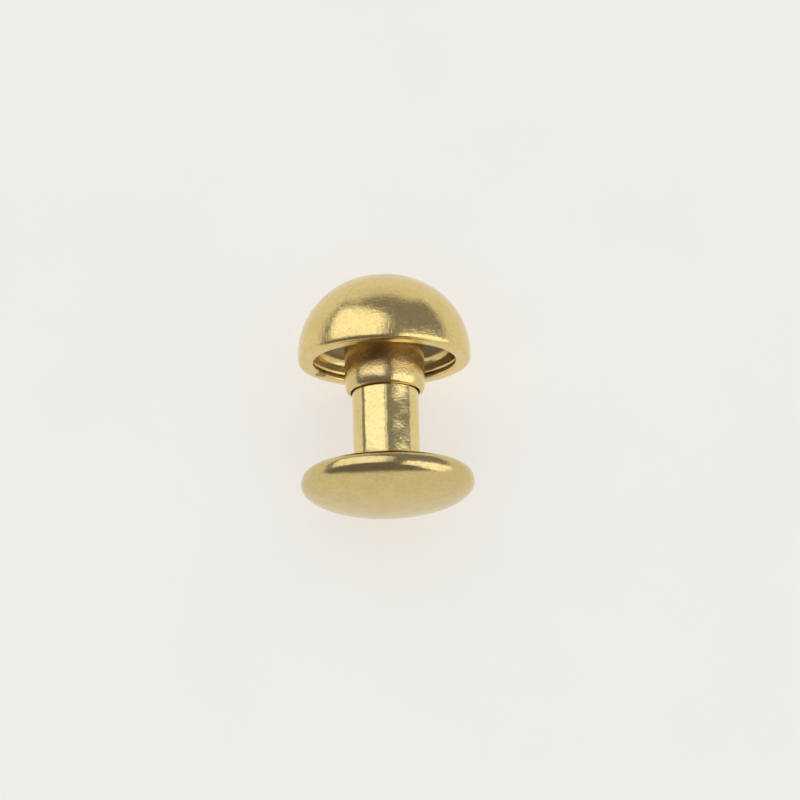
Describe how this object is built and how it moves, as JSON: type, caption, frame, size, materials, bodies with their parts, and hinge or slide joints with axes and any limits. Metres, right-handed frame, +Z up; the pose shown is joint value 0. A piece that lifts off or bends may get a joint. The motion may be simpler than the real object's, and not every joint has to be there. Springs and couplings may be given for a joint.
{
  "type": "double cap rivet",
  "caption": "Domed double cap rivet for leather, its domed cap half pushed loosely onto the hollow post of a low cap half.",
  "frame": {"origin": "on the rivet's axis, midway between the two crowns", "axes": "+Y along the rivet's axis towards the dome; the rivet lies on its side with +Z up"},
  "size_m": [0.009, 0.0126, 0.009],
  "materials": {
    "dome_cap": "tumbled and lightly polished",
    "socket": "drawn, fine orange peel",
    "post": "drawn lengthwise, with small pits",
    "post_cap": "tumbled and lightly polished"
  },
  "bodies": {
    "post_half": {"post": "post", "post_cap": "post_cap"},
    "socket": {"socket": "socket"},
    "dome": {"dome_cap": "dome_cap"}
  },
  "joints": [
    {"name": "cap_slide", "type": "slide", "parent": "post_half", "child": "socket", "axis": [0, 1, 0], "range_m": [-0.0023, 0.006]},
    {"name": "cap_turn", "type": "hinge", "parent": "socket", "child": "dome", "pos_m": [0, 0.00214, 0], "axis": [0, 1, 0], "continuous": true}
  ]
}
